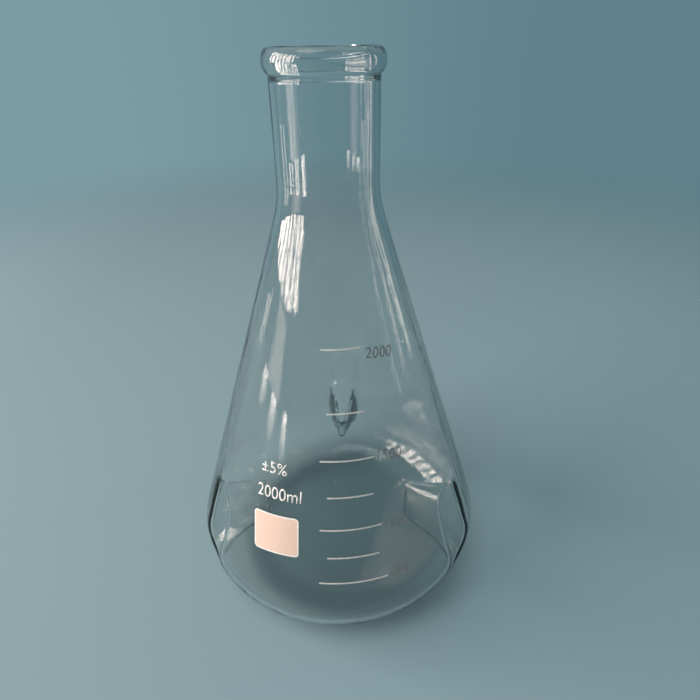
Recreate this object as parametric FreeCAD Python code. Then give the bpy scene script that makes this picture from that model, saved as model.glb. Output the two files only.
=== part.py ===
import FreeCAD, Part
import math
import os

# Baffled erlenmeyer flask of two litres: one blown glass body with three baffles pressed
# into its lower wall, and white enamel fired on the front of the cone.
# Lengths are in millimetres and angles in degrees. The origin is the centre of the
# footprint, +Z is up, and the enamel is on the -Y side.

# Body of the flask, outside
HEIGHT = 280.0
BODY_DIAMETER = 166.0
CORNER_RADIUS = 29.0
NECK_DIAMETER = 47.0
CONE_TOP_HEIGHT = 219.5
SHOULDER_RADIUS = 55.0

# Glass thickness
WALL = 2.4
BASE_THICKNESS = 3.4

# Underside: a flat ring to stand on, round a shallow dome
FOOT_WIDTH = 4.0
DOME_RISE = 2.6

# Bead round the mouth
BEAD_DIAMETER = 51.6
BEAD_HEIGHT = 10.0
LIP_RADIUS = 1.6

# Baffles: wedges pressed in from outside, narrow at the nose and wide at the wall
BAFFLE_COUNT = 3
FIRST_BAFFLE_AZIMUTH = 90.0
NOSE_RADIUS_FROM_AXIS = 47.0
NOSE_HALF_WIDTH = 2.0
NOSE_TOP = 64.0
NOSE_BOTTOM = 38.5
SIDE_FLARE = 0.4
SIDE_BOW = 0.0053
OVAL_LEAN = 6.0
TOP_RISE = 0.28
BOTTOM_DROP = 0.1
BOTTOM_FALL = 16.0
BOTTOM_BEND = 4
WEDGE_SECTIONS = 8
MOUTH_ROUNDING = 5.0
NOSE_SOFTNESS = 0.85

# Enamel: heights are measured up the axis, azimuths from +X
ENAMEL_THICKNESS = 0.2
ENAMEL_CLEARANCE = 0.08
LINE_WIDTH = 0.7
LINE_500_HEIGHT = 48.5
LINE_750_HEIGHT = 62.0
LINE_1000_HEIGHT = 76.5
LINE_1250_HEIGHT = 93.0
LINE_1500_HEIGHT = 111.0
LINE_1750_HEIGHT = 133.5
LINE_2000_HEIGHT = 162.5
LONG_LINE_START = 265.7
LONG_LINE_ARC = 25.6
SHORT_LINE_START = 268.8
SHORT_LINE_ARC = 20.4
SPOT_AZIMUTH = 247.0
SPOT_WIDTH = 25.5
SPOT_HEIGHT = 20.2
SPOT_MIDDLE = 69.5
SPOT_CORNER = 2.0

BODY_RADIUS = BODY_DIAMETER / 2
NECK_RADIUS = NECK_DIAMETER / 2
BORE_RADIUS = NECK_RADIUS - WALL
CORNER_CENTRE = BODY_RADIUS - CORNER_RADIUS

AXIS = FreeCAD.Vector(0, 0, 1)
ORIGIN = FreeCAD.Vector(0, 0, 0)
WEDGE_SURFACE = "Part::GeomBSplineSurface"
FLAT_SURFACE = "Part::GeomPlane"
SAME_PLACE = 0.001


def cone_tilt():
    """Angle of the cone's outward normal above the horizontal, in radians.

    The cone passes through the neck's radius at CONE_TOP_HEIGHT and touches the base corner.
    """
    across = CORNER_CENTRE - NECK_RADIUS
    down = CONE_TOP_HEIGHT - CORNER_RADIUS
    span = math.hypot(across, down)
    return math.acos(-CORNER_RADIUS / span) - math.atan2(down, across)


def point(radius, height):
    """A point of a profile, in the XZ plane."""
    return FreeCAD.Vector(radius, 0, height)


def line(start, end):
    """A straight edge."""
    return Part.LineSegment(start, end).toShape()


def arc(start, middle, end):
    """An edge that is an arc of a circle through three points."""
    return Part.Arc(start, middle, end).toShape()


def dome(centre_height, rim):
    """The shallow arc from the axis out to a rim point."""
    sag = centre_height - rim.z
    radius = (rim.x ** 2 + sag ** 2) / (2 * sag)
    half_way = rim.x / 2
    drop = radius - math.sqrt(radius ** 2 - half_way ** 2)
    return arc(point(0, centre_height), point(half_way, centre_height - drop), rim)


def wall_edges(inset):
    """Corner, cone, shoulder and the place where the neck starts, moved in by an inset.

    Returns the edges and the point at the foot of the neck.
    """
    tilt = cone_tilt()
    normal = point(math.cos(tilt), math.sin(tilt))
    centre = point(CORNER_CENTRE, CORNER_RADIUS)
    corner = CORNER_RADIUS - inset
    half_turn = (tilt - math.pi / 2) / 2
    corner_start = centre + point(0, -corner)
    corner_middle = centre + point(corner * math.cos(half_turn), corner * math.sin(half_turn))
    corner_end = centre + normal * corner

    shoulder_height = CONE_TOP_HEIGHT + SHOULDER_RADIUS * math.tan(tilt / 2)
    shoulder_centre = point(NECK_RADIUS + SHOULDER_RADIUS, shoulder_height)
    shoulder = SHOULDER_RADIUS + inset
    half_tilt = point(math.cos(tilt / 2), math.sin(tilt / 2))
    cone_end = shoulder_centre - normal * shoulder
    neck_start = shoulder_centre - point(shoulder, 0)

    edges = [
        arc(corner_start, corner_middle, corner_end),
        line(corner_end, cone_end),
        arc(cone_end, shoulder_centre - half_tilt * shoulder, neck_start),
    ]
    return edges, neck_start


def revolved(edges):
    """The solid that a closed profile sweeps round the axis."""
    return Part.Face(Part.Wire(edges)).revolve(ORIGIN, AXIS, 360)


def outer_body():
    """The flask as if it were solid glass, with its bead and without its baffles."""
    foot_inner = point(CORNER_CENTRE - FOOT_WIDTH, 0)
    foot_outer = point(CORNER_CENTRE, 0)
    walls, neck_start = wall_edges(0)

    crest_radius = BORE_RADIUS + LIP_RADIUS
    half_height = BEAD_HEIGHT / 2
    bulge = BEAD_DIAMETER / 2 - crest_radius
    middle = point(crest_radius, HEIGHT - half_height)
    crest = point(crest_radius, HEIGHT)
    side = point(crest_radius + bulge, HEIGHT - half_height)
    turn = math.pi - math.asin((NECK_RADIUS - crest_radius) / bulge)
    bead = Part.Ellipse(crest, side, middle)
    bead_foot = bead.value(turn)

    return revolved([
        dome(DOME_RISE, foot_inner),
        line(foot_inner, foot_outer),
        *walls,
        line(neck_start, bead_foot),
        Part.Arc(bead, 0, turn).toShape(),
        line(crest, point(0, HEIGHT)),
        line(point(0, HEIGHT), point(0, DOME_RISE)),
    ])


def cavity():
    """The space inside the flask without its baffles, open through the rounded lip."""
    floor_inner = point(CORNER_CENTRE - FOOT_WIDTH, WALL)
    floor_outer = point(CORNER_CENTRE, WALL)
    floor_centre = DOME_RISE + BASE_THICKNESS
    walls, neck_start = wall_edges(WALL)

    lip_foot = point(BORE_RADIUS, HEIGHT - LIP_RADIUS)
    crest = point(BORE_RADIUS + LIP_RADIUS, HEIGHT)
    slant = LIP_RADIUS * math.cos(math.pi / 4)
    lip_middle = crest + point(-slant, slant - LIP_RADIUS)

    return revolved([
        dome(floor_centre, floor_inner),
        line(floor_inner, floor_outer),
        *walls,
        line(neck_start, lip_foot),
        arc(lip_foot, lip_middle, crest),
        line(crest, point(0, HEIGHT)),
        line(point(0, HEIGHT), point(0, floor_centre)),
    ])


def wedge_section(radius, inset):
    """The oval outline of a wedge at one distance from the axis, grown by an inset.

    Two shallow side arcs meet two end arcs where both lean by OVAL_LEAN. The sides flare
    less and the bottom falls more steeply nearer the wall.
    Returns the wire and the radius of its ends.
    """
    depth = radius - NOSE_RADIUS_FROM_AXIS
    share = max(depth, 0) / (BODY_RADIUS - NOSE_RADIUS_FROM_AXIS)
    fall = BOTTOM_FALL * share ** BOTTOM_BEND
    steepness = BOTTOM_DROP
    if depth > 0:
        steepness += BOTTOM_BEND * fall / depth
    flare = SIDE_FLARE - 2 * SIDE_BOW * depth
    top = NOSE_TOP + TOP_RISE * depth + inset * math.hypot(1, TOP_RISE)
    bottom = NOSE_BOTTOM - BOTTOM_DROP * depth - fall - inset * math.hypot(1, steepness)
    half_width = NOSE_HALF_WIDTH + (SIDE_FLARE - SIDE_BOW * depth) * depth
    half_width += inset * math.hypot(1, flare)
    half_height = (top + bottom) / 2 - bottom
    lean = math.radians(OVAL_LEAN)
    slope = math.tan(lean / 2)
    end = (half_width - slope * half_height) / (math.cos(lean) - slope * (1 - math.sin(lean)))
    across = end * math.cos(lean)
    up = half_height - end * (1 - math.sin(lean))
    middle = FreeCAD.Vector(radius, 0, (top + bottom) / 2)

    def at(sideways, upwards):
        return middle + FreeCAD.Vector(0, sideways, upwards)

    outline = Part.Wire([
        arc(at(across, -up), at(half_width, 0), at(across, up)),
        arc(at(across, up), at(0, half_height), at(-across, up)),
        arc(at(-across, up), at(-half_width, 0), at(-across, -up)),
        arc(at(-across, -up), at(0, -half_height), at(across, -up)),
    ])
    return outline, end


def wedge(azimuth, inset):
    """One wedge that is cut out of the wall, from its nose to past the body."""
    nose = NOSE_RADIUS_FROM_AXIS - inset
    reach = BODY_RADIUS + MOUTH_ROUNDING - nose
    sections = [
        wedge_section(nose + reach * number / (WEDGE_SECTIONS - 1), inset)[0]
        for number in range(WEDGE_SECTIONS)
    ]
    solid = Part.makeLoft(sections, True, False)
    solid.rotate(ORIGIN, AXIS, azimuth)
    return solid


def dented(body, inset):
    """A body with every wedge cut out of it, its noses and mouths rounded.

    An inset of nought makes the outside of the glass, and the wall's thickness its inside.
    """
    for number in range(BAFFLE_COUNT):
        azimuth = FIRST_BAFFLE_AZIMUTH + number * 360 / BAFFLE_COUNT
        body = body.cut(wedge(azimuth, inset))
    noses = []
    mouths = []
    for edge in body.Edges:
        kinds = {face.Surface.TypeId for face in body.ancestorsOfType(edge, Part.Face)}
        if WEDGE_SURFACE in kinds and len(kinds) > 1:
            group = noses if FLAT_SURFACE in kinds else mouths
            group.append(edge)
    nose_end = wedge_section(NOSE_RADIUS_FROM_AXIS - inset, inset)[1]
    body = body.makeFillet(NOSE_SOFTNESS * nose_end, noses)
    return body.makeFillet(MOUTH_ROUNDING - inset, matching_edges(body, mouths))


def matching_edges(body, wanted):
    """The edges of a body that lie where the wanted edges lay before a change."""
    return [
        edge for edge in body.Edges
        if any(
            edge.CenterOfMass.isEqual(other.CenterOfMass, SAME_PLACE)
            and abs(edge.Length - other.Length) < SAME_PLACE
            for other in wanted
        )
    ]


def flask():
    """The blown glass: what is left between its outside and its inside."""
    glass = dented(outer_body(), 0).cut(dented(cavity(), WALL))
    return glass.Solids[0]


def on_cone(height, rise, lift):
    """A point off the cone: a height, a distance up the slope and a lift off the glass."""
    tilt = cone_tilt()
    radius = NECK_RADIUS + (CONE_TOP_HEIGHT - height) * math.tan(tilt)
    upslope = point(-math.sin(tilt), math.cos(tilt))
    outward = point(math.cos(tilt), math.sin(tilt))
    return point(radius, height) + upslope * rise + outward * lift


def enamel_band(height, width, start, turn):
    """Enamel on the cone: a band of one width that runs through an angle."""
    top = ENAMEL_CLEARANCE + ENAMEL_THICKNESS
    corners = [
        on_cone(height, -width / 2, ENAMEL_CLEARANCE),
        on_cone(height, width / 2, ENAMEL_CLEARANCE),
        on_cone(height, width / 2, top),
        on_cone(height, -width / 2, top),
    ]
    section = Part.Face(Part.makePolygon(corners + corners[:1]))
    section.rotate(ORIGIN, AXIS, start)
    return section.revolve(ORIGIN, AXIS, turn)


def graduation_lines():
    """The level lines: long ones at each half litre and short ones between."""
    half_litres = (LINE_500_HEIGHT, LINE_1000_HEIGHT, LINE_1500_HEIGHT, LINE_2000_HEIGHT)
    between = (LINE_750_HEIGHT, LINE_1250_HEIGHT, LINE_1750_HEIGHT)
    lines = [
        enamel_band(height, LINE_WIDTH, LONG_LINE_START, LONG_LINE_ARC)
        for height in half_litres
    ]
    lines += [
        enamel_band(height, LINE_WIDTH, SHORT_LINE_START, SHORT_LINE_ARC)
        for height in between
    ]
    return Part.Compound(lines)


def rounded_rectangle(width, height, corner):
    """An upright rectangle with round corners, centred on the X axis and facing along it."""
    side = width / 2
    top = height / 2
    slant = corner * (1 - math.cos(math.pi / 4))
    edges = []
    for turn in range(4):
        along, up = (side, top) if turn % 2 == 0 else (top, side)
        spin = FreeCAD.Rotation(FreeCAD.Vector(1, 0, 0), turn * 90)
        ends = [(along, corner - up), (along, up - corner), (along - slant, up - slant),
                (along - corner, up)]
        a, b, c, d = (spin.multVec(FreeCAD.Vector(0, y, z)) for y, z in ends)
        edges += [line(a, b), arc(b, c, d)]
    return Part.Wire(edges)


def marking_spot():
    """The patch for writing on: a rounded rectangle of enamel that follows the cone."""
    turn = math.degrees(SPOT_WIDTH / NECK_RADIUS)
    shell = enamel_band(SPOT_MIDDLE, 2 * SPOT_HEIGHT, SPOT_AZIMUTH - turn / 2, turn)
    outline = rounded_rectangle(SPOT_WIDTH, SPOT_HEIGHT, SPOT_CORNER)
    stamp = Part.Face(outline).extrude(FreeCAD.Vector(BODY_DIAMETER, 0, 0))
    stamp.translate(FreeCAD.Vector(0, 0, SPOT_MIDDLE))
    stamp.rotate(ORIGIN, AXIS, SPOT_AZIMUTH)
    return shell.common(stamp)


PARTS = {
    "flask": flask,
    "graduation_lines": graduation_lines,
    "marking_spot": marking_spot,
}

os.makedirs("parts", exist_ok=True)
for name, make in PARTS.items():
    shape = make()
    shape.exportStep(f"parts/{name}.step")
    print(name, len(shape.Solids), "solids,", round(shape.Volume), "mm3, valid", shape.isValid())
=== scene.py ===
import logging
import math
from dataclasses import dataclass
from enum import Enum

import bmesh
import bpy
from mathutils import Matrix, Vector


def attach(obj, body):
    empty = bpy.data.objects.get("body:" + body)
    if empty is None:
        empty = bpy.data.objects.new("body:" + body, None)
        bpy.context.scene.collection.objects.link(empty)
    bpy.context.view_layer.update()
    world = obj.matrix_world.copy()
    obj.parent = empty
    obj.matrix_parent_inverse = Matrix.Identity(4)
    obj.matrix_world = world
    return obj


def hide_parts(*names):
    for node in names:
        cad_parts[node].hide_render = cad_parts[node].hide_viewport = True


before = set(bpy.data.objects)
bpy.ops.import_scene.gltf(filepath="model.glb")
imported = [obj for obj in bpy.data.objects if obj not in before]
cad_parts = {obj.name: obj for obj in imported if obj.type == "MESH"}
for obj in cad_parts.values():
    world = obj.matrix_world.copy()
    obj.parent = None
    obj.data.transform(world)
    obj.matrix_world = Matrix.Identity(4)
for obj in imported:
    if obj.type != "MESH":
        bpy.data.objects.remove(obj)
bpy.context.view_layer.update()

# The looks of a two litre baffled erlenmeyer flask: the blown glass with its three baffles,
# the fired enamel marks, and a plain studio round it. Sizes in the classes are in
# millimetres and degrees; MM turns them into the frame's metres.

MM = 0.001
ROOT = "root"
LOG = logging.getLogger("flask")


class Side(Enum):
    """The two sides of the glass wall."""

    OUTSIDE = 0
    INSIDE = 1


@dataclass(frozen=True)
class FlaskSizes:
    """The outline of the blown body, as in the CAD source."""

    height: float = 280.0
    body_radius: float = 83.0
    corner_radius: float = 29.0
    neck_radius: float = 23.5
    cone_top: float = 219.5
    shoulder_radius: float = 55.0
    wall: float = 2.4
    base_thickness: float = 3.4
    foot_width: float = 4.0
    dome_rise: float = 2.6
    bead_radius: float = 25.8
    bead_height: float = 10.0
    lip_radius: float = 1.6

    @property
    def corner_centre(self) -> float:
        """Distance of the corner arc's centre from the axis."""
        return self.body_radius - self.corner_radius

    @property
    def bore_radius(self) -> float:
        """Radius of the bore of the neck."""
        return self.neck_radius - self.wall

    @property
    def tilt(self) -> float:
        """Angle of the cone's outward normal above the horizontal, in radians."""
        across = self.corner_centre - self.neck_radius
        down = self.cone_top - self.corner_radius
        span = math.hypot(across, down)
        return math.acos(-self.corner_radius / span) - math.atan2(down, across)

    def inset(self, side: Side) -> float:
        """How far a side of the wall lies inside the outside of the glass."""
        return self.wall * side.value


@dataclass(frozen=True)
class BaffleSizes:
    """The wedges pressed into the lower wall, as in the CAD source."""

    count: int = 3
    first_azimuth: float = 90.0
    nose_radius: float = 47.0
    nose_half_width: float = 2.0
    nose_top: float = 64.0
    nose_bottom: float = 38.5
    side_flare: float = 0.4
    side_bow: float = 0.0053
    oval_lean: float = 6.0
    top_rise: float = 0.28
    bottom_drop: float = 0.1
    bottom_fall: float = 16.0
    bottom_bend: int = 4
    mouth_rounding: float = 5.0
    nose_softness: float = 0.85
    nose_share: float = 0.3
    thinning_bend: float = 1.6


class WallCurve:
    """One side of the wall from the foot up to the neck, run along as a length."""

    def __init__(self, sizes: FlaskSizes, side: Side) -> None:
        """Works out where the corner, cone and shoulder of this side meet.

        Args:
            sizes: The body's sizes.
            side: Which side of the wall this is.
        """
        self.sizes = sizes
        self.corner = sizes.corner_radius - sizes.inset(side)
        self.shoulder = sizes.shoulder_radius + sizes.inset(side)
        self.tilt = sizes.tilt
        self.corner_run = self.corner * (math.pi / 2 + self.tilt)
        self.corner_end = self._on_corner(self.corner_run)
        shoulder_height = sizes.cone_top + sizes.shoulder_radius * math.tan(self.tilt / 2)
        self.shoulder_centre = (sizes.neck_radius + sizes.shoulder_radius, shoulder_height)
        cone_end = (
            self.shoulder_centre[0] - math.cos(self.tilt) * self.shoulder,
            self.shoulder_centre[1] - math.sin(self.tilt) * self.shoulder,
        )
        self.cone_run = self.corner_run + math.dist(self.corner_end, cone_end)
        self.full_run = self.cone_run + self.shoulder * self.tilt

    def _on_corner(self, run: float) -> tuple[float, float]:
        """Radius and height at a length along the corner arc."""
        angle = run / self.corner - math.pi / 2
        return (
            self.sizes.corner_centre + self.corner * math.cos(angle),
            self.sizes.corner_radius + self.corner * math.sin(angle),
        )

    def at(self, run: float) -> tuple[float, float]:
        """Radius and height at a length along this side.

        Args:
            run: Length from where the corner leaves the foot.

        Returns:
            The radius and the height.
        """
        if run <= self.corner_run:
            return self._on_corner(run)
        if run <= self.cone_run:
            past = run - self.corner_run
            return (
                self.corner_end[0] - past * math.sin(self.tilt),
                self.corner_end[1] + past * math.cos(self.tilt),
            )
        turn = self.tilt - (run - self.cone_run) / self.shoulder
        return (
            self.shoulder_centre[0] - self.shoulder * math.cos(turn),
            self.shoulder_centre[1] - self.shoulder * math.sin(turn),
        )

    def run_at(self, height: float) -> float:
        """Length along this side at a height on the corner or the cone.

        Args:
            height: A height below the shoulder.

        Returns:
            The length from where the corner leaves the foot.
        """
        if height >= self.corner_end[1]:
            return self.corner_run + (height - self.corner_end[1]) / math.cos(self.tilt)
        below = (self.sizes.corner_radius - height) / self.corner
        return self.corner * math.acos(max(-1.0, min(1.0, below)))

    def radius_at(self, height: float) -> float:
        """Radius of this side at a height on the corner or the cone."""
        return self.at(self.run_at(height))[0]


@dataclass(frozen=True)
class Fineness:
    """How many faces the glass gets in each direction."""

    columns: int = 240
    patch_columns: int = 22
    patch_rows: int = 32
    corner_share: int = 2
    patch_low: float = 10.0
    patch_high: float = 84.0
    below_patch: int = 10
    cone: int = 40
    shoulder: int = 12
    neck: int = 14
    bead: int = 26
    lip: int = 8
    dome: int = 14
    foot: int = 3
    skirt_rings: int = 6
    lip_rings: int = 9
    flank_rings: int = 12
    nose_rings: int = 6


def lerp(start: float, end: float, share: float) -> float:
    """The value at a share of the way from start to end."""
    return start + (end - start) * share


def spread(start: float, end: float, steps: int) -> list[float]:
    """Values from start to end in even steps, without the start itself."""
    return [lerp(start, end, step / steps) for step in range(1, steps + 1)]


def bow(start: Vector, first: Vector, second: Vector, end: Vector, share: float) -> Vector:
    """A point of the cubic curve with these four control points."""
    rest = 1 - share
    return (
        start * rest ** 3
        + first * (3 * share * rest ** 2)
        + second * (3 * share ** 2 * rest)
        + end * share ** 3
    )


class Dent:
    """One side of one baffle: rings of points from the round wall in to the nose."""

    def __init__(
        self, curve: WallCurve, sizes: BaffleSizes, fine: Fineness, side: Side, azimuth: float
    ) -> None:
        """Sets up the wedge on one side of the wall.

        Args:
            curve: The side of the wall that the wedge is pressed into.
            sizes: The wedge's sizes.
            fine: How many points and rings to make.
            side: Which side of the wall this is.
            azimuth: The direction that the wedge faces, in degrees.
        """
        self.curve = curve
        self.sizes = sizes
        self.fine = fine
        self.azimuth = azimuth
        self.inset = curve.sizes.inset(side)
        self.rounding = sizes.mouth_rounding - self.inset
        self.nose = sizes.nose_radius - self.inset * sizes.nose_share
        self.runs = [
            curve.run_at(fine.patch_low), curve.run_at(fine.patch_high)
        ]
        self.half_turn = math.pi * fine.patch_columns / fine.columns
        self.normals = self._normal_angles()
        self.count = len(self.normals)

    def _normal_angles(self) -> list[float]:
        """The direction that the oval faces at each point, from the foot round by +Y."""
        lean = math.radians(self.sizes.oval_lean)
        ends = self.fine.patch_columns + 2 * self.fine.corner_share
        sides = self.fine.patch_rows - 2 * self.fine.corner_share
        half = ends // 2
        quarter = math.pi / 2
        return [
            *[lerp(-quarter, -lean, n / half) for n in range(half)],
            *[lerp(-lean, lean, n / sides) for n in range(sides)],
            *[lerp(lean, math.pi - lean, n / ends) for n in range(ends)],
            *[lerp(math.pi - lean, math.pi + lean, n / sides) for n in range(sides)],
            *[lerp(math.pi + lean, math.pi + quarter, n / half) for n in range(half)],
        ]

    def glass(self, radius: float) -> float:
        """How far this side lies inside the outside of the glass, which thins to the nose."""
        s = self.sizes
        share = (radius - s.nose_radius) / (self.curve.sizes.body_radius - s.nose_radius)
        bent = max(0.0, min(1.0, share)) ** s.thinning_bend
        return self.inset * lerp(s.nose_share, 1.0, bent)

    def oval(self, radius: float, number: int) -> Vector:
        """A point of the wedge's oval at one distance from the axis, in the wedge's own frame.

        Args:
            radius: Distance of the oval's plane from the axis.
            number: Which point of the ring.

        Returns:
            The point: out from the axis, sideways and up.
        """
        s = self.sizes
        depth = radius - s.nose_radius
        share = max(depth, 0) / (self.curve.sizes.body_radius - s.nose_radius)
        fall = s.bottom_fall * share ** s.bottom_bend
        steepness = s.bottom_drop
        if depth > 0:
            steepness += s.bottom_bend * fall / depth
        flare = s.side_flare - 2 * s.side_bow * depth
        inset = self.glass(radius)
        top = s.nose_top + s.top_rise * depth + inset * math.hypot(1, s.top_rise)
        bottom = s.nose_bottom - s.bottom_drop * depth - fall
        bottom -= inset * math.hypot(1, steepness)
        half_width = s.nose_half_width + (s.side_flare - s.side_bow * depth) * depth
        half_width += inset * math.hypot(1, flare)
        half_height = (top - bottom) / 2
        lean = math.radians(s.oval_lean)
        slope = math.tan(lean / 2)
        end = (half_width - slope * half_height) / (math.cos(lean) - slope * (1 - math.sin(lean)))
        rise = half_height - end
        side_radius = end + rise / math.sin(lean)
        angle = self.normals[number]
        if abs(math.cos(angle)) >= math.cos(lean) - 1e-9:
            centre = (half_width - side_radius) * math.copysign(1, math.cos(angle))
            sideways = centre + side_radius * math.cos(angle)
            upwards = side_radius * math.sin(angle)
        else:
            sideways = end * math.cos(angle)
            upwards = math.copysign(rise, math.sin(angle)) + end * math.sin(angle)
        return Vector((radius, sideways, (top + bottom) / 2 + upwards))

    def slope(self, radius: float, number: int) -> Vector:
        """The direction outwards along the flank at one distance from the axis."""
        return (self.oval(radius + 0.05, number) - self.oval(radius, number)).normalized()

    def mouth(self, number: int) -> Vector:
        """Where the flank would meet the round wall, with no rounding."""
        low, high = self.nose, self.curve.sizes.body_radius + self.rounding
        for _ in range(40):
            middle = (low + high) / 2
            place = self.oval(middle, number)
            if math.hypot(place.x, place.y) < self.curve.radius_at(place.z):
                low = middle
            else:
                high = middle
        return self.oval((low + high) / 2, number)

    def on_wall(self, turn: float, run: float) -> Vector:
        """A point of the round wall, in the wedge's own frame."""
        radius, height = self.curve.at(run)
        return Vector((radius * math.cos(turn), radius * math.sin(turn), height))

    def frame_point(self, place: Vector) -> Vector:
        """A point of the wedge's own frame, in the part's frame and in metres."""
        return (Matrix.Rotation(math.radians(self.azimuth), 3, "Z") @ place) * MM

    def edge_of_patch(self) -> list[tuple[float, float]]:
        """Turn and run of each point round the patch that is taken out of the wall."""
        across = self.fine.patch_columns
        up = self.fine.patch_rows
        half = across // 2
        low, high = self.runs
        wide = self.half_turn
        return [
            *[(lerp(0, wide, n / half), low) for n in range(half)],
            *[(wide, lerp(low, high, n / up)) for n in range(up)],
            *[(lerp(wide, -wide, n / across), high) for n in range(across)],
            *[(-wide, lerp(high, low, n / up)) for n in range(up)],
            *[(lerp(-wide, 0, n / half), low) for n in range(half)],
        ]

    def rings(self) -> list[list[Vector]]:
        """Every ring of this side of the baffle, from the patch's edge in to the nose.

        Returns:
            A list of rings, each with one point for each point of the patch's edge.
        """
        mouths = [self.mouth(number) for number in range(self.count)]
        flat = [
            (math.atan2(place.y, place.x), self.curve.run_at(place.z)) for place in mouths
        ]
        columns = []
        for number, start in enumerate(self.edge_of_patch()):
            columns.append(self._column(number, start, mouths, flat))
        return [[self.frame_point(place) for place in ring] for ring in zip(*columns)]

    def _column(
        self,
        number: int,
        start: tuple[float, float],
        mouths: list[Vector],
        flat: list[tuple[float, float]],
    ) -> list[Vector]:
        """The points of every ring that follow one another from one point of the patch's edge."""
        fine = self.fine
        turn, run = flat[number]
        radius = self.curve.at(run)[0]
        before, after = flat[number - 1], flat[(number + 1) % self.count]
        along = Vector(((after[0] - before[0]) * radius, after[1] - before[1])).normalized()
        out = Vector((along.y, -along.x))
        edge = (mouths[(number + 1) % self.count] - mouths[number - 1]).normalized()
        ruling = self.slope(mouths[number].x - 0.5 * self.rounding, number)

        def skirt(distance: float) -> Vector:
            return self.on_wall(turn + out.x * distance / radius, run + out.y * distance)

        small = 0.01
        wall_inwards = (mouths[number] - skirt(small)).normalized()
        flank_inwards = -(ruling - edge * ruling.dot(edge)).normalized()
        bend = wall_inwards.angle(flank_inwards)
        reach = self.rounding * math.tan(bend / 2)
        tight = 4 / 3 * math.tan(bend / 4) / math.tan(bend / 2)
        lip_start = skirt(reach)
        heading = (skirt(reach - small) - lip_start).normalized()
        slant = math.sqrt(max(1e-6, 1 - ruling.dot(edge) ** 2))
        lip_end = self.oval(mouths[number].x - ruling.x * reach / slant, number)
        leaving = self.slope(lip_end.x, number) * (mouths[number] - lip_end).length

        lip_turn = turn + out.x * reach / radius
        lip_run = run + out.y * reach
        points = [
            self.on_wall(lerp(start[0], lip_turn, share), lerp(start[1], lip_run, share))
            for share in spread(0, 1, fine.skirt_rings)
        ]
        points += [
            bow(
                lip_start,
                lip_start + heading * (reach * tight),
                lip_end + leaving * tight,
                lip_end,
                share,
            )
            for share in spread(0, 1, fine.lip_rings)
        ]

        nose = self.oval(self.nose, number)
        facing = Vector((0, math.cos(self.normals[number]), math.sin(self.normals[number])))
        end = self._end_radius()
        nose_rounding = self.sizes.nose_softness * end
        nose_edge = Vector((0, -facing.z, facing.y))
        ruling = self.slope(self.nose, number)
        flank_in = -(ruling - nose_edge * ruling.dot(nose_edge)).normalized()
        nose_bend = flank_in.angle(-facing)
        nose_reach = nose_rounding * math.tan(nose_bend / 2)
        nose_tight = 4 / 3 * math.tan(nose_bend / 4) / math.tan(nose_bend / 2)
        nose_slant = math.sqrt(max(1e-6, 1 - ruling.dot(nose_edge) ** 2))
        nose_start = self.oval(self.nose + ruling.x * nose_reach / nose_slant, number)
        nose_end = nose - facing * nose_reach
        points += [
            self.oval(radius, number)
            for radius in spread(lip_end.x, nose_start.x, fine.flank_rings)
        ]
        points += [
            bow(
                nose_start,
                nose_start.lerp(nose, nose_tight),
                nose_end.lerp(nose, nose_tight),
                nose_end,
                share,
            )
            for share in spread(0, 1, fine.nose_rings)
        ]
        points.append(self._on_nose_line(nose, end))
        return points

    def _end_radius(self) -> float:
        """Radius of the round ends of the nose."""
        top = self.oval(self.nose, self._top_number())
        lean = math.radians(self.sizes.oval_lean)
        bottom = self.oval(self.nose, 0)
        half_height = (top.z - bottom.z) / 2
        side = self.fine.patch_columns // 2 + self.fine.patch_rows // 2
        half_width = self.oval(self.nose, side).y
        slope = math.tan(lean / 2)
        return (half_width - slope * half_height) / (math.cos(lean) - slope * (1 - math.sin(lean)))

    def _top_number(self) -> int:
        """Number of the ring's highest point."""
        return self.count // 2

    def _on_nose_line(self, nose: Vector, end: float) -> Vector:
        """The point of the nose's middle line nearest a point of its edge."""
        top = self.oval(self.nose, self._top_number()).z - end
        bottom = self.oval(self.nose, 0).z + end
        return Vector((self.nose, 0, max(bottom, min(top, nose.z))))


def deselect() -> None:
    """Leaves nothing selected and no object in edit mode."""
    if bpy.context.object is not None and bpy.context.object.mode != "OBJECT":
        bpy.ops.object.mode_set(mode="OBJECT")
    bpy.ops.object.select_all(action="DESELECT")


def settle(piece: bpy.types.Object) -> None:
    """Puts a finished piece's place into its mesh, so that its object sits at the origin."""
    deselect()
    piece.select_set(True)
    bpy.context.view_layer.objects.active = piece
    bpy.ops.object.transform_apply(location=True, rotation=True, scale=True)


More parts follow.
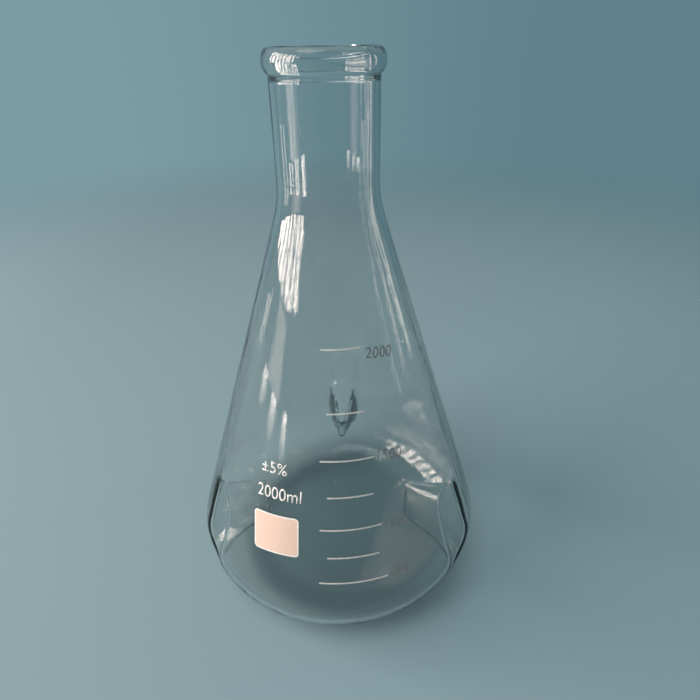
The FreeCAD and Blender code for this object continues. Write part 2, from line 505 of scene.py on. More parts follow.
class NodeTree:
    """A short way to lay out the nodes of one material, group or world."""

    # Numbers of the colour sockets of a Mix node.
    FIRST, SECOND, RESULT = 6, 7, 2

    def __init__(self, tree: bpy.types.NodeTree) -> None:
        """Takes over a node tree and empties it."""
        self.tree = tree
        self.tree.nodes.clear()

    def add(self, kind: str, **values: object) -> bpy.types.Node:
        """Adds a node.

        Args:
            kind: The node's type.
            **values: Properties of the node, or values of its inputs by name with
                underscores for spaces.

        Returns:
            The new node.
        """
        node = self.tree.nodes.new(kind)
        for name, value in values.items():
            if hasattr(node, name):
                setattr(node, name, value)
            else:
                node.inputs[name.replace("_", " ")].default_value = value
        return node

    def link(self, source: bpy.types.NodeSocket, target: bpy.types.NodeSocket) -> None:
        """Joins an output to an input."""
        self.tree.links.new(source, target)

    def blend(
        self, share: bpy.types.NodeSocket, first: tuple[float, ...], second: tuple[float, ...]
    ) -> bpy.types.NodeSocket:
        """Adds a mix of two colours.

        Args:
            share: The output that says how far it is from the first to the second.
            first: The colour at 0.
            second: The colour at 1.

        Returns:
            The output with the mixed colour.
        """
        mix = self.add("ShaderNodeMix", data_type="RGBA")
        mix.inputs[self.FIRST].default_value = first
        mix.inputs[self.SECOND].default_value = second
        self.link(share, mix.inputs[0])
        return mix.outputs[self.RESULT]


def new_group(
    name: str, inputs: dict[str, float], outputs: dict[str, str]
) -> tuple[NodeTree, bpy.types.Node, bpy.types.Node]:
    """Makes an empty shader group with its sockets.

    Args:
        name: The group's name.
        inputs: Names and default values of its number inputs.
        outputs: Names and socket types of its outputs.

    Returns:
        The group's nodes, its input node and its output node.
    """
    group = bpy.data.node_groups.new(name, "ShaderNodeTree")
    for label, value in inputs.items():
        socket = group.interface.new_socket(
            name=label, in_out="INPUT", socket_type="NodeSocketFloat"
        )
        socket.default_value = value
    for label, kind in outputs.items():
        group.interface.new_socket(name=label, in_out="OUTPUT", socket_type=kind)
    nodes = NodeTree(group)
    return nodes, nodes.add("NodeGroupInput"), nodes.add("NodeGroupOutput")


def uneven_group() -> bpy.types.NodeTree:
    """A group for slow and fine unevenness, such as in blown glass or thin enamel.

    Returns:
        A group with a Height and a Mask output, from 0 to 1. Stretch draws the pattern
        out along the axis of the flask.
    """
    nodes, source, sink = new_group(
        "uneven",
        {"Scale": 40.0, "Stretch": 0.15, "Detail": 2.0},
        {"Height": "NodeSocketFloat", "Mask": "NodeSocketFloat"},
    )
    place = nodes.add("ShaderNodeTexCoord")
    shape = nodes.add("ShaderNodeCombineXYZ", X=1.0, Y=1.0)
    nodes.link(source.outputs["Stretch"], shape.inputs["Z"])
    stretched = nodes.add("ShaderNodeVectorMath", operation="MULTIPLY")
    nodes.link(place.outputs["Object"], stretched.inputs[0])
    nodes.link(shape.outputs[0], stretched.inputs[1])
    noise = nodes.add("ShaderNodeTexNoise", Roughness=0.45)
    nodes.link(stretched.outputs[0], noise.inputs["Vector"])
    nodes.link(source.outputs["Scale"], noise.inputs["Scale"])
    nodes.link(source.outputs["Detail"], noise.inputs["Detail"])
    nodes.link(noise.outputs["Fac"], sink.inputs["Height"])
    mask = nodes.add("ShaderNodeMapRange", From_Min=0.35, From_Max=0.65)
    nodes.link(noise.outputs["Fac"], mask.inputs["Value"])
    nodes.link(mask.outputs[0], sink.inputs["Mask"])
    return nodes.tree


@dataclass(frozen=True)
class BlownGlass:
    """Clear borosilicate glass with the long streaks of a blown body, its colour darkened at
    grazing angles by painted shade along the outlines.
    """

    tint: tuple[float, float, float, float] = (0.94, 0.945, 0.94, 1.0)
    depth_tint: tuple[float, float, float, float] = (0.10, 0.18, 0.15, 1.0)
    depth_density: float = 18.0
    # Painted shade: at grazing angles, between the two facing values below, the glass colour turns
    # to this dark tint to darken the outlines.
    outline_painted_shade: tuple[float, float, float, float] = (0.06, 0.12, 0.11, 1.0)
    outline_shade_start: float = 0.70
    outline_shade_end: float = 0.95
    shade: tuple[float, float, float, float] = (0.95, 0.965, 0.965, 1.0)
    edge_shade: tuple[float, float, float, float] = (0.34, 0.37, 0.37, 1.0)
    shade_ior: float = 1.3
    ior: float = 1.474
    streak_scale: float = 95.0
    streak_stretch: float = 0.06
    streak_detail: float = 5.0
    streak_depth: float = 0.00025
    haze: float = 0.012

    def material(self, uneven: bpy.types.NodeTree) -> bpy.types.Material:
        """Builds the material.

        Args:
            uneven: The shared group for unevenness.

        Returns:
            The glass material, which lets lamp light through to what stands behind it.
        """
        made = bpy.data.materials.new("blown_glass")
        made.use_nodes = True
        nodes = NodeTree(made.node_tree)
        streaks = nodes.add(
            "ShaderNodeGroup", node_tree=uneven, Scale=self.streak_scale,
            Stretch=self.streak_stretch, Detail=self.streak_detail,
        )
        bump = nodes.add("ShaderNodeBump", Strength=1.0, Distance=self.streak_depth)
        nodes.link(streaks.outputs["Height"], bump.inputs["Height"])
        haze = nodes.add("ShaderNodeMapRange", To_Max=self.haze)
        nodes.link(streaks.outputs["Mask"], haze.inputs["Value"])
        # Painted shade along the outlines: Layer Weight facing mixes the glass colour toward a
        # dark tint at grazing angles.
        facing = nodes.add("ShaderNodeLayerWeight", Blend=0.5)
        outline_shade_share = nodes.add(
            "ShaderNodeMapRange", From_Min=self.outline_shade_start, From_Max=self.outline_shade_end
        )
        nodes.link(facing.outputs["Facing"], outline_shade_share.inputs["Value"])
        glass = nodes.add("ShaderNodeBsdfPrincipled", IOR=self.ior)
        nodes.link(
            nodes.blend(outline_shade_share.outputs[0], self.tint, self.outline_painted_shade),
            glass.inputs["Base Color"],
        )
        glass.inputs["Transmission Weight"].default_value = 1.0
        nodes.link(haze.outputs[0], glass.inputs["Roughness"])
        nodes.link(bump.outputs[0], glass.inputs["Normal"])
        slant = nodes.add("ShaderNodeFresnel", IOR=self.shade_ior)
        clear = nodes.add("ShaderNodeBsdfTransparent")
        nodes.link(
            nodes.blend(slant.outputs[0], self.shade, self.edge_shade), clear.inputs["Color"]
        )
        path = nodes.add("ShaderNodeLightPath")
        seen = nodes.add("ShaderNodeMixShader")
        nodes.link(path.outputs["Is Diffuse Ray"], seen.inputs[0])
        nodes.link(glass.outputs[0], seen.inputs[1])
        nodes.link(clear.outputs[0], seen.inputs[2])
        mix = nodes.add("ShaderNodeMixShader")
        nodes.link(path.outputs["Is Shadow Ray"], mix.inputs[0])
        nodes.link(seen.outputs[0], mix.inputs[1])
        nodes.link(clear.outputs[0], mix.inputs[2])
        body = nodes.add(
            "ShaderNodeVolumeAbsorption", Color=self.depth_tint, Density=self.depth_density
        )
        out = nodes.add("ShaderNodeOutputMaterial")
        nodes.link(mix.outputs[0], out.inputs["Surface"])
        nodes.link(body.outputs[0], out.inputs["Volume"])
        return made


@dataclass(frozen=True)
class Enamel:
    """Fired enamel: its colour, how much it varies and how rough it is."""

    name: str
    thick: tuple[float, float, float, float]
    thin: tuple[float, float, float, float]
    roughness: float = 0.42
    roughness_spread: float = 0.08
    scale: float = 900.0
    grain_strength: float = 0.6
    grain_depth: float = 0.00004

    def material(self, uneven: bpy.types.NodeTree) -> bpy.types.Material:
        """Builds the material.

        Args:
            uneven: The shared group for unevenness.

        Returns:
            The enamel material.
        """
        made = bpy.data.materials.new(self.name)
        made.use_nodes = True
        nodes = NodeTree(made.node_tree)
        grain = nodes.add(
            "ShaderNodeGroup", node_tree=uneven, Scale=self.scale, Stretch=1.0, Detail=3.0
        )
        rough = nodes.add(
            "ShaderNodeMapRange", To_Min=self.roughness - self.roughness_spread,
            To_Max=self.roughness + self.roughness_spread,
        )
        nodes.link(grain.outputs["Mask"], rough.inputs["Value"])
        bump = nodes.add(
            "ShaderNodeBump", Strength=self.grain_strength, Distance=self.grain_depth
        )
        nodes.link(grain.outputs["Height"], bump.inputs["Height"])
        coat = nodes.add("ShaderNodeBsdfPrincipled")
        nodes.link(
            nodes.blend(grain.outputs["Mask"], self.thin, self.thick),
            coat.inputs["Base Color"],
        )
        nodes.link(rough.outputs[0], coat.inputs["Roughness"])
        nodes.link(bump.outputs[0], coat.inputs["Normal"])
        out = nodes.add("ShaderNodeOutputMaterial")
        nodes.link(coat.outputs[0], out.inputs["Surface"])
        return made


class GlassBody:
    """The blown body: one closed shell of glass with its bead, lip, dome and baffles."""

    def __init__(self, sizes: FlaskSizes, baffles: BaffleSizes, fine: Fineness) -> None:
        """Keeps the sizes and sets up both sides of the wall."""
        self.sizes = sizes
        self.baffles = baffles
        self.fine = fine
        self.curves = {side: WallCurve(sizes, side) for side in Side}

    def _dome(self, centre_height: float, rim_height: float) -> list[tuple[float, float]]:
        """The shallow dome from the axis out to its rim."""
        rim = self.sizes.corner_centre - self.sizes.foot_width
        sag = centre_height - rim_height
        radius = (rim ** 2 + sag ** 2) / (2 * sag)
        points = []
        for step in range(self.fine.dome + 1):
            across = rim * math.sin(math.pi / 2 * step / self.fine.dome)
            points.append((across, centre_height - radius + math.sqrt(radius ** 2 - across ** 2)))
        return points

    def _foot(self, height: float) -> list[tuple[float, float]]:
        """The flat ring between the dome and the corner."""
        rim = self.sizes.corner_centre - self.sizes.foot_width
        return [(r, height) for r in spread(rim, self.sizes.corner_centre, self.fine.foot)]

    def _wall(self, side: Side) -> list[tuple[float, float]]:
        """One side of the wall from the corner to the foot of the neck."""
        curve = self.curves[side]
        fine = self.fine
        low = curve.run_at(fine.patch_low)
        high = curve.run_at(fine.patch_high)
        runs = [
            *spread(0, low, fine.below_patch),
            *spread(low, high, fine.patch_rows),
            *spread(high, curve.cone_run, fine.cone),
            *spread(curve.cone_run, curve.full_run, fine.shoulder),
        ]
        return [curve.at(run) for run in runs]

    def outline(self) -> tuple[list[tuple[float, float]], dict[Side, tuple[int, int]]]:
        """The section of the glass from the axis under the base to the axis on the floor.

        Returns:
            Its points, as radius and height, and for each side of the wall the numbers of
            the points where the patches for the baffles begin and end.
        """
        sizes, fine = self.sizes, self.fine
        crest = sizes.bore_radius + sizes.lip_radius
        bulge = sizes.bead_radius - crest
        half = sizes.bead_height / 2
        middle = sizes.height - half
        turn = math.pi - math.asin((sizes.neck_radius - crest) / bulge)

        points = self._dome(sizes.dome_rise, 0) + self._foot(0)
        patches = {Side.OUTSIDE: self._patch(len(points))}
        points += self._wall(Side.OUTSIDE)
        foot = middle + half * math.cos(turn)
        points += [(sizes.neck_radius, z) for z in spread(points[-1][1], foot, fine.neck)]
        points += [
            (crest + bulge * math.sin(angle), middle + half * math.cos(angle))
            for angle in spread(turn, 0, fine.bead)
        ]
        lip = sizes.lip_radius
        points += [
            (crest - lip * math.sin(angle), sizes.height - lip + lip * math.cos(angle))
            for angle in spread(0, math.pi / 2, fine.lip)
        ]
        floor = self._dome(sizes.dome_rise + sizes.base_thickness, sizes.wall)
        inner = floor + self._foot(sizes.wall)
        first = len(inner)
        inner += self._wall(Side.INSIDE)
        top = inner[-1][1]
        inner += [
            (sizes.bore_radius, z) for z in spread(top, sizes.height - lip, fine.neck)
        ][:-1]
        inner.reverse()
        low, high = self._patch(first)
        last = len(points) + len(inner) - 1
        patches[Side.INSIDE] = (last - high, last - low)
        return points + inner, patches

    def _patch(self, first: int) -> tuple[int, int]:
        """Numbers of the outline's points at the two ends of a patch, after a first one."""
        low = first - 1 + self.fine.below_patch
        return low, low + self.fine.patch_rows

    def _turned(self, outline: list[tuple[float, float]]) -> bpy.types.Object:
        """Draws the section point by point and spins it round the axis."""
        bpy.ops.mesh.primitive_circle_add(vertices=3, radius=MM, fill_type="NOTHING")
        piece = bpy.context.object
        piece.name = "glass_body"
        bpy.ops.object.mode_set(mode="EDIT")
        section = bmesh.from_edit_mesh(piece.data)
        section.verts.layers.int.new("row")
        section.verts.layers.int.new("place")
        bmesh.ops.delete(section, geom=list(section.verts)[1:], context="VERTS")
        section.verts.ensure_lookup_table()
        start_place = Vector((outline[0][0], 0, outline[0][1])) * MM
        section.verts[0].co = start_place
        section.verts[0].select = True
        section.select_flush_mode()
        bmesh.update_edit_mesh(piece.data)
        for start, end in zip(outline, outline[1:]):
            step = Vector((end[0] - start[0], 0, end[1] - start[1])) * MM
            bpy.ops.mesh.extrude_region_move(TRANSFORM_OT_translate={"value": step})
        section = bmesh.from_edit_mesh(piece.data)
        rows = section.verts.layers.int["row"]
        edge = None
        vert = min(section.verts, key=lambda vert: (vert.co - start_place).length)
        for number, (radius, height) in enumerate(outline):
            vert[rows] = number
            vert.co = Vector((radius, 0, height)) * MM
            edge = next((other for other in vert.link_edges if other is not edge), None)
            if edge is not None:
                vert = edge.other_vert(vert)
        bmesh.update_edit_mesh(piece.data)
        bpy.ops.mesh.select_all(action="SELECT")
        bpy.ops.mesh.spin(
            steps=self.fine.columns, angle=math.tau, center=(0, 0, 0), axis=(0, 0, 1)
        )
        bpy.ops.mesh.select_all(action="SELECT")
        bpy.ops.mesh.remove_doubles(threshold=MM / 1000)
        return piece

    def _open_patches(self, piece: bpy.types.Object, patches: dict[Side, tuple[int, int]]) -> None:
        """Takes the faces out where the baffles go and numbers the points round each hole."""
        fine = self.fine
        step = math.tau / fine.columns
        half = fine.patch_columns // 2
        bpy.ops.mesh.select_all(action="DESELECT")
        mesh = bmesh.from_edit_mesh(piece.data)
        rows = mesh.verts.layers.int["row"]
        places = mesh.verts.layers.int["place"]
        covered = set()
        for vert in mesh.verts:
            for side, (low, high) in patches.items():
                if not low <= vert[rows] <= high:
                    continue
                for number in range(self.baffles.count):
                    column = round(self._off(vert.co, number) / step)
                    if abs(column) > half:
                        continue
                    up = vert[rows] - low if side is Side.OUTSIDE else high - vert[rows]
                    covered.add(vert)
                    if abs(column) == half or vert[rows] in (low, high):
                        vert[places] = self._place(side, number, column, up)
        for face in mesh.faces:
            if covered.issuperset(face.verts):
                face.select_set(True)
        bmesh.update_edit_mesh(piece.data)
        bpy.ops.mesh.delete(type="FACE")

    def _off(self, place: Vector, number: int) -> float:
        """Turn from a baffle's direction to a point, in radians from -pi to pi."""
        azimuth = math.radians(self.baffles.first_azimuth + number * 360 / self.baffles.count)
        off = math.atan2(place.y, place.x) - azimuth
        return (off + math.pi) % math.tau - math.pi

    def _place(self, side: Side, number: int, column: int, up: int) -> int:
        """The code of a point round a patch: which side, which baffle, and its place."""
        half = self.fine.patch_columns // 2
        across = self.fine.patch_columns
        rows = self.fine.patch_rows
        if up == 0 and column >= 0:
            place = column
        elif column == half:
            place = half + up
        elif up == rows:
            place = half + rows + half - column
        elif column == -half:
            place = half + rows + across + rows - up
        else:
            place = half + rows + across + rows + half + column
        dent = number * len(Side) + side.value
        return 1 + dent * 1000 + place % (2 * (across + rows))

    def _press_baffles(self, piece: bpy.types.Object) -> None:
        """Extrudes each hole's edge ring by ring down into its baffle and closes the nose."""
        rings = {}
        for number in range(self.baffles.count):
            azimuth = self.baffles.first_azimuth + number * 360 / self.baffles.count
            for side in Side:
                dent = Dent(self.curves[side], self.baffles, self.fine, side, azimuth)
                rings[number * len(Side) + side.value] = dent.rings()
        bpy.ops.mesh.select_all(action="DESELECT")
        mesh = bmesh.from_edit_mesh(piece.data)
        for edge in mesh.edges:
            if edge.is_boundary:
                edge.select_set(True)
        bmesh.update_edit_mesh(piece.data)
        for ring in range(len(rings[0])):
            bpy.ops.mesh.extrude_region_move(TRANSFORM_OT_translate={"value": (0, 0, 0)})
            mesh = bmesh.from_edit_mesh(piece.data)
            places = mesh.verts.layers.int["place"]
            for vert in mesh.verts:
                if vert.select:
                    dent, place = divmod(vert[places] - 1, 1000)
                    vert.co = rings[dent][ring][place]
            bmesh.update_edit_mesh(piece.data)
        bpy.ops.mesh.remove_doubles(threshold=MM / 1000)

    def build(self) -> bpy.types.Object:
        """Makes the glass.

        Returns:
            The finished glass, smooth and with its faces outwards.
        """
        deselect()
        outline, patches = self.outline()
        piece = self._turned(outline)
        self._open_patches(piece, patches)
        self._press_baffles(piece)
        bpy.ops.mesh.select_all(action="SELECT")
        bpy.ops.mesh.normals_make_consistent(inside=False)
        bpy.ops.object.mode_set(mode="OBJECT")
        bpy.ops.object.shade_smooth()
        for name in ("row", "place"):
            piece.data.attributes.remove(piece.data.attributes[name])
        settle(piece)
        return piece


@dataclass(frozen=True)
class Mark:
    """One number of enamel: its words, where it stands and how large it is."""

    name: str
    text: str
    azimuth: float
    height: float
    size: float
    spin: float = 0.0
    narrow: float = 1.0
    bold: float = 0.0


@dataclass(frozen=True)
class PrintSizes:
    """Where the enamel lies on the cone."""

    thickness: float = 0.12
    seat: float = 0.02
    spot_azimuth: float = 247.0
    spot_width: float = 25.5
    spot_height: float = 20.2
    spot_middle: float = 69.5
    spot_corner: float = 2.0
    spot_spin: float = 5.3
    spot_border: float = 0.65
    spot_thickness: float = 0.2
    slice_width: float = 1.2
    marks: tuple[Mark, ...] = (
        Mark("number_2000", "2000", 292.6, 157.2, 7.4, -10.0, 0.97),
        Mark("number_1500", "1500", 291.2, 108.9, 7.8, -10.0, 0.97),
        Mark("number_1000", "1000", 291.0, 74.2, 7.8, -10.0, 0.97),
        Mark("number_500", "500", 293.0, 48.0, 7.2, -10.0, 0.92),
        Mark("capacity", "2000ml", 236.0, 86.6, 9.4, 5.3, 0.905, 0.012),
        Mark("tolerance", "±5%", 236.4, 99.6, 8.6, 5.3, 1.0, 0.012),
    )


class EnamelPrint:
    """The marking spot and the numbers, wrapped round the cone."""

    def __init__(self, flask: FlaskSizes, sizes: PrintSizes) -> None:
        """Keeps the sizes and the outside of the cone."""
        self.curve = WallCurve(flask, Side.OUTSIDE)
        self.sizes = sizes
        self.tilt = flask.tilt

    def on_cone(self, azimuth: float, across: float, height: float, lift: float) -> Vector:
        """A point on the cone.

        Args:
            azimuth: Direction of the middle of the print, in degrees.
            across: Distance round the cone from that direction.
            height: Height up the axis.
            lift: Distance off the glass.

        Returns:
            The point in metres.
        """
        radius = self.curve.radius_at(height)
        turn = math.radians(azimuth) + across / radius
        radius += lift * math.cos(self.tilt)
        height += lift * math.sin(self.tilt)
        return Vector((radius * math.cos(turn), radius * math.sin(turn), height)) * MM

    def number(self, mark: Mark) -> bpy.types.Object:
        """Makes one number as a thin raised print.

        Args:
            mark: The number.

        Returns:
            The finished piece.
        """
        deselect()
        bpy.ops.object.text_add()
        piece = bpy.context.object
        piece.name = mark.name
        piece.data.body = mark.text
        piece.data.size = mark.size
        piece.data.offset = mark.bold
        piece.data.resolution_u = 6
        bpy.ops.object.convert(target="MESH")
        piece = bpy.context.object
        bpy.ops.object.mode_set(mode="EDIT")
        bpy.ops.mesh.select_all(action="SELECT")
        bpy.ops.mesh.remove_doubles(threshold=0.001)
        bpy.ops.mesh.normals_make_consistent(inside=False)
        bpy.ops.transform.resize(value=(mark.narrow, 1, 1), center_override=(0, 0, 0))
        thickness = self.sizes.thickness
        bpy.ops.mesh.extrude_region_move(TRANSFORM_OT_translate={"value": (0, 0, thickness)})
        bpy.ops.mesh.select_all(action="SELECT")
        bpy.ops.mesh.normals_make_consistent(inside=False)
        self._wrap(piece, mark.spin, mark.azimuth, mark.height)
        bpy.ops.object.mode_set(mode="OBJECT")
        settle(piece)
        return piece

    def _wrap(
        self, piece: bpy.types.Object, spin: float, azimuth: float, height: float
    ) -> None:
        """Turns a flat print in its plane and moves each of its points onto the glass.

        Args:
            piece: The print, in edit mode.
            spin: How far it is turned, in degrees.
            azimuth: Direction of its origin, in degrees.
            height: Height of its origin.
        """
        turn = Matrix.Rotation(math.radians(spin), 3, "Z")
        mesh = bmesh.from_edit_mesh(piece.data)
        for vert in mesh.verts:
            flat = turn @ vert.co
            up = flat.y * math.cos(self.tilt)
            vert.co = self.on_cone(azimuth, flat.x, height + up, self.sizes.seat + flat.z)
        bmesh.update_edit_mesh(piece.data)

    def spot(self) -> bpy.types.Object:
        """Makes the marking spot: a round-cornered patch with a raised border.

        Returns:
            The finished piece, with its border's faces in the second material slot.
        """
        sizes = self.sizes
        deselect()
        bpy.ops.mesh.primitive_plane_add(size=1.0)
        piece = bpy.context.object
        piece.name = "marking_patch"
        piece.data.materials.append(None)
        piece.data.materials.append(None)
        bpy.ops.object.mode_set(mode="EDIT")
        tall = sizes.spot_height / math.cos(self.tilt)
        bpy.ops.transform.resize(value=(sizes.spot_width, tall, 1))
        bpy.ops.mesh.bevel(
            offset=sizes.spot_corner, segments=8, affect="VERTICES", offset_type="OFFSET"
        )
        bpy.ops.mesh.select_all(action="SELECT")
        bpy.ops.mesh.inset(thickness=sizes.spot_border, depth=0)
        for face in bmesh.from_edit_mesh(piece.data).faces:
            face.material_index = int(not face.select)
        bmesh.update_edit_mesh(piece.data)
        cuts = int(sizes.spot_width / sizes.slice_width)
        for cut in range(1, cuts):
            bpy.ops.mesh.select_all(action="SELECT")
            across = sizes.spot_width * (cut / cuts - 0.5)
            bpy.ops.mesh.bisect(plane_co=(across, 0, 0), plane_no=(1, 0, 0))
        bpy.ops.mesh.select_all(action="SELECT")
        bpy.ops.mesh.extrude_region_move(
            TRANSFORM_OT_translate={"value": (0, 0, sizes.spot_thickness)}
        )
        bpy.ops.mesh.select_all(action="SELECT")
        bpy.ops.mesh.normals_make_consistent(inside=False)
        self._wrap(piece, sizes.spot_spin, sizes.spot_azimuth, sizes.spot_middle)
        bpy.ops.object.mode_set(mode="OBJECT")
        settle(piece)
        return piece


@dataclass(frozen=True)
class CameraFit:
    """The photograph's camera, fitted to the outline of the flask."""

    focal_px: float = 526.0
    image_px: float = 700.0
    sensor: float = 36.0
    pitch: float = 0.537
    roll: float = -0.017
    yaw: float = 0.035
    distance: float = 244.475
    height: float = 282.958
    turn: float = 4.2

    def build(self) -> bpy.types.Object:
        """Makes the camera and sets it as the scene's.

        Returns:
            The camera.
        """
        cos, sin = math.cos, math.sin
        forward = Vector((
            sin(self.yaw) * cos(self.pitch), cos(self.yaw) * cos(self.pitch), -sin(self.pitch)
        ))
        level = Vector((cos(self.yaw), -sin(self.yaw), 0))
        upright = level.cross(forward)
        right = cos(self.roll) * level + sin(self.roll) * upright
        up = cos(self.roll) * upright - sin(self.roll) * level
        spin = Matrix.Rotation(math.radians(self.turn), 3, "Z")
        axes = spin @ Matrix((right, up, -forward)).transposed()
        place = spin @ Vector((0, -self.distance, self.height)) * MM
        lens = bpy.data.cameras.new("camera")
        lens.sensor_width = self.sensor
        lens.lens = self.focal_px / self.image_px * self.sensor
        lens.clip_start = 0.01
        lens.clip_end = 50
        lens.dof.use_dof = False
        camera = bpy.data.objects.new("camera", lens)
        bpy.context.scene.collection.objects.link(camera)
        camera.matrix_world = Matrix.Translation(place) @ axes.to_4x4()
        bpy.context.scene.camera = camera
        return camera


@dataclass(frozen=True)
class Pane:
    """One soft lamp: where it stands as seen from the flask, its size and its strength."""

    name: str
    azimuth: float
    low: float
    high: float
    distance: float
    width: float
    level: float
    colour: tuple[float, float, float] = (1.0, 0.84, 0.76)


class Studio:
    """The floor, the backdrop, the lamps and the world."""

    # The backdrop's two colours are painted light and shade: lighter on the left, where the
    # windows are, and darker on the right.
    backdrop_painted_light_left = (0.205, 0.330, 0.372, 1.0)
    backdrop_painted_shade_right = (0.118, 0.222, 0.264, 1.0)
    # The paper grows lighter from left to right: painted light that makes up for the lamps' weaker
    # light on the right of the floor.
    paper_left = (0.235, 0.358, 0.402, 1.0)
    paper_painted_light_right = (0.285, 0.460, 0.515, 1.0)
    room_bright = (0.28, 0.26, 0.24, 1.0)
    room_dim = (0.10, 0.13, 0.15, 1.0)
    room_level = 1.0
    fade_start = 0.42
    fade_end = 1.4
    eye_height = 0.2
    panes = (
        Pane("window_1", 165.0, -0.3, 34.0, 1.7, 0.15, 14.0),
        Pane("window_2", 173.8, -0.1, 34.0, 1.7, 0.15, 14.0),
        Pane("window_3", 182.6, 0.2, 34.0, 1.7, 0.15, 14.0),
        Pane("window_4", 191.4, 0.7, 34.0, 1.7, 0.15, 14.0),
        Pane("window_5", 200.2, 1.4, 34.0, 1.7, 0.15, 14.0),
        Pane("window_6", 209.0, 2.3, 34.0, 1.7, 0.15, 14.0),
        Pane("window_7", 217.0, 3.4, 34.0, 1.7, 0.12, 14.0),
        Pane("low_window_1", 187.0, -14.0, -9.7, 1.7, 0.17, 13.0),
        Pane("low_window_2", 204.0, -14.0, -9.3, 1.7, 0.17, 13.0),
        Pane("low_window_3", 220.5, -14.0, -8.9, 1.7, 0.17, 13.0),
        Pane("dim_window", 200.0, -9.4, 0.4, 1.7, 0.60, 2.0),
        Pane("side_window", 166.0, -12.0, -5.6, 1.7, 0.12, 4.0),
        Pane("far_window_1", 348.0, -13.0, 14.0, 1.8, 0.05, 3.0),
        Pane("far_window_2", 4.0, -13.0, 14.0, 1.8, 0.10, 3.0),
        Pane("far_window_3", 20.0, -13.0, 22.0, 1.8, 0.14, 4.0),
        Pane("ceiling", 225.0, 50.0, 80.0, 1.6, 0.9, 3.0, (0.96, 0.98, 1.0)),
    )

    def _lamp(self, pane: Pane) -> None:
        """Makes one lamp that faces the flask."""
        azimuth = math.radians(pane.azimuth)
        middle = math.radians((pane.low + pane.high) / 2)
        half = math.radians((pane.high - pane.low) / 2)
        way = Vector((
            math.cos(azimuth) * math.cos(middle),
            math.sin(azimuth) * math.cos(middle),
            math.sin(middle),
        ))
        light = bpy.data.lights.new(pane.name, "AREA")
        light.shape = "RECTANGLE"
        light.size = pane.width
        light.size_y = 2 * pane.distance * math.tan(half)
        light.color = pane.colour
        light.energy = pane.level * math.pi * light.size * light.size_y
        lamp = bpy.data.objects.new(pane.name, light)
        bpy.context.scene.collection.objects.link(lamp)
        lamp.location = Vector((0, 0, self.eye_height)) + way * pane.distance
        lamp.rotation_euler = way.to_track_quat("Z", "Y").to_euler()
        lamp.visible_camera = False

    def _paper(self) -> bpy.types.Material:
        """The pale matt paper of the floor, with painted light that makes it lighter towards +X,
        and which fades into the backdrop far out.
        """
        made = bpy.data.materials.new("paper")
        made.use_nodes = True
        nodes = NodeTree(made.node_tree)
        place = nodes.add("ShaderNodeTexCoord")
        sides = nodes.add("ShaderNodeSeparateXYZ")
        nodes.link(place.outputs["Object"], sides.inputs[0])
        # Painted light: the paper's colour grows lighter along X, towards the right, where the
        # lamps give less light.
        across = nodes.add("ShaderNodeMapRange", From_Min=-0.35, From_Max=0.35)
        nodes.link(sides.outputs["X"], across.inputs["Value"])
        paper = nodes.add("ShaderNodeBsdfPrincipled", Roughness=0.8)
        nodes.link(
            nodes.blend(across.outputs[0], self.paper_left, self.paper_painted_light_right),
            paper.inputs["Base Color"],
        )
        paper.inputs["Specular IOR Level"].default_value = 0.2
        away = nodes.add("ShaderNodeVectorMath", operation="LENGTH")
        nodes.link(place.outputs["Object"], away.inputs[0])
        fade = nodes.add(
            "ShaderNodeMapRange", interpolation_type="SMOOTHSTEP",
            From_Min=self.fade_start, From_Max=self.fade_end,
        )
        nodes.link(away.outputs["Value"], fade.inputs["Value"])
        clear = nodes.add("ShaderNodeBsdfTransparent")
        mix = nodes.add("ShaderNodeMixShader")
        nodes.link(fade.outputs[0], mix.inputs[0])
        nodes.link(paper.outputs[0], mix.inputs[1])
        nodes.link(clear.outputs[0], mix.inputs[2])
        out = nodes.add("ShaderNodeOutputMaterial")
        nodes.link(mix.outputs[0], out.inputs["Surface"])
        return made

    def _shade_of_sky(
        self,
        nodes: NodeTree,
        first: tuple[float, ...],
        second: tuple[float, ...],
        low: float,
        high: float,
    ) -> bpy.types.NodeSocket:
        """Lays out a colour of the world that changes with the direction along X.

        Args:
            nodes: The world's nodes.
            first: The colour up to the low end.
            second: The colour from the high end on.
            low: Where along X the change starts.
            high: Where it ends.

        Returns:
            The output with the colour.
        """
        place = nodes.add("ShaderNodeTexCoord")
        sides = nodes.add("ShaderNodeSeparateXYZ")
        nodes.link(place.outputs["Generated"], sides.inputs[0])
        across = nodes.add(
            "ShaderNodeMapRange", interpolation_type="SMOOTHSTEP", From_Min=low, From_Max=high
        )
        nodes.link(sides.outputs["X"], across.inputs["Value"])
        return nodes.blend(across.outputs[0], first, second)

    def _world(self) -> None:
        """A dim room for soft light and reflections, and the backdrop behind the flask, with
        painted light on its left and painted shade on its right.
        """
        world = bpy.data.worlds.new("room")
        world.use_nodes = True
        bpy.context.scene.world = world
        nodes = NodeTree(world.node_tree)
        path = nodes.add("ShaderNodeLightPath")
        direct = nodes.add("ShaderNodeMath", operation="MAXIMUM")
        nodes.link(path.outputs["Is Camera Ray"], direct.inputs[0])
        nodes.link(path.outputs["Is Transmission Ray"], direct.inputs[1])
        seen = nodes.add("ShaderNodeMath", operation="MAXIMUM")
        nodes.link(direct.outputs[0], seen.inputs[0])
        nodes.link(path.outputs["Is Glossy Ray"], seen.inputs[1])
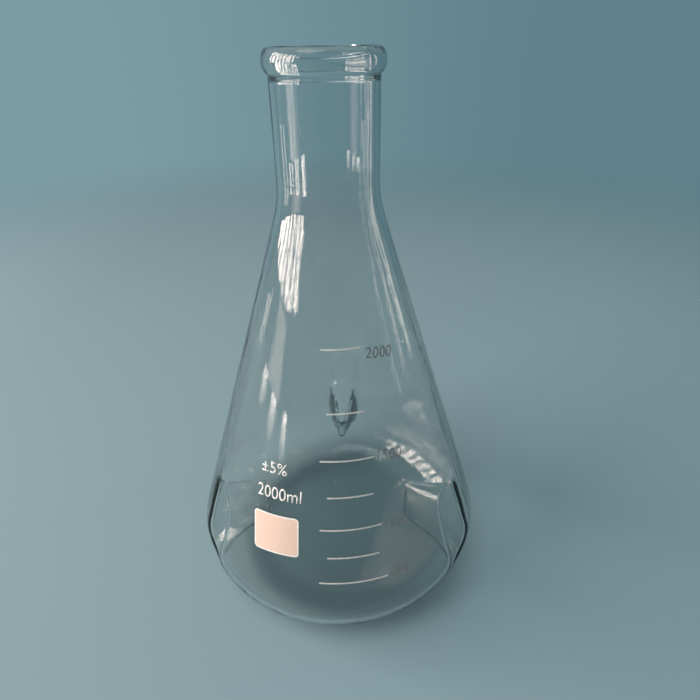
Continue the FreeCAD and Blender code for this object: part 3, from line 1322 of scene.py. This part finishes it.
        # The backdrop's colour changes along X: painted light on the left and painted shade on the
        # right.
        backdrop = nodes.add("ShaderNodeBackground")
        nodes.link(
            self._shade_of_sky(nodes, self.backdrop_painted_light_left, self.backdrop_painted_shade_right, -0.5, 0.35),
            backdrop.inputs["Color"],
        )
        room = nodes.add("ShaderNodeBackground", Strength=self.room_level)
        nodes.link(
            self._shade_of_sky(nodes, self.room_bright, self.room_dim, -0.9, 0.4),
            room.inputs["Color"],
        )
        mix = nodes.add("ShaderNodeMixShader")
        nodes.link(seen.outputs[0], mix.inputs[0])
        nodes.link(room.outputs[0], mix.inputs[1])
        nodes.link(backdrop.outputs[0], mix.inputs[2])
        out = nodes.add("ShaderNodeOutputWorld")
        nodes.link(mix.outputs[0], out.inputs["Surface"])

    def build(self) -> None:
        """Sets up everything that isn't part of the flask."""
        deselect()
        bpy.ops.mesh.primitive_circle_add(
            vertices=64, radius=1.6, fill_type="NGON", location=(0, 0, -0.3 * MM)
        )
        floor = bpy.context.object
        floor.name = "floor"
        floor.data.materials.append(self._paper())
        self._world()
        for pane in self.panes:
            self._lamp(pane)
        bpy.context.scene.view_settings.view_transform = "Standard"


ENAMELS = {
    "white": Enamel("enamel_white", (0.94, 0.94, 0.92, 1), (0.82, 0.82, 0.80, 1)),
    "pale": Enamel("enamel_pale", (0.33, 0.31, 0.29, 1), (0.22, 0.24, 0.24, 1)),
    "patch": Enamel("enamel_patch", (0.80, 0.62, 0.52, 1), (0.76, 0.58, 0.48, 1), 0.55),
    "border": Enamel("enamel_border", (0.95, 0.94, 0.92, 1), (0.90, 0.89, 0.87, 1)),
    "line": Enamel("enamel_line", (0.88, 0.87, 0.84, 1), (0.60, 0.60, 0.58, 1)),
}


def dress(piece: bpy.types.Object, *materials: bpy.types.Material) -> None:
    """Gives a piece its materials, slot by slot."""
    slots = piece.data.materials
    for number, made in enumerate(materials):
        if number < len(slots):
            slots[number] = made
        else:
            slots.append(made)


def add_piece(piece: bpy.types.Object, slot: str, *nodes: str) -> None:
    """Puts a finished piece on the part.

    Args:
        piece: The piece.
        slot: The record's material slot; not used.
        *nodes: CAD nodes that it stands for.
    """
    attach(piece, ROOT)
    if nodes:
        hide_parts(*nodes)
    faces = sum(len(face.vertices) - 2 for face in piece.data.polygons)
    LOG.info("%s: %d triangles", piece.name, faces)


def main() -> None:
    """Builds the flask and its studio."""
    logging.basicConfig(level=logging.INFO, format="%(name)s: %(message)s")
    flask, baffles, printing = FlaskSizes(), BaffleSizes(), PrintSizes()
    uneven = uneven_group()
    enamels = {name: enamel.material(uneven) for name, enamel in ENAMELS.items()}
    CameraFit().build()
    Studio().build()

    body = GlassBody(flask, baffles, Fineness()).build()
    dress(body, BlownGlass().material(uneven))
    add_piece(body, "glass", "flask")

    enamel = EnamelPrint(flask, printing)
    spot = enamel.spot()
    dress(spot, enamels["patch"], enamels["border"])
    add_piece(spot, "enamel_spot", "marking_spot")
    for mark in printing.marks:
        number = enamel.number(mark)
        dress(number, enamels["pale" if mark.name.startswith("number") else "white"])
        add_piece(number, "enamel_white")
    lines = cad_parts["graduation_lines"]
    for slot in lines.material_slots:
        slot.material = enamels["line"]


if __name__ == "__main__":
    main()
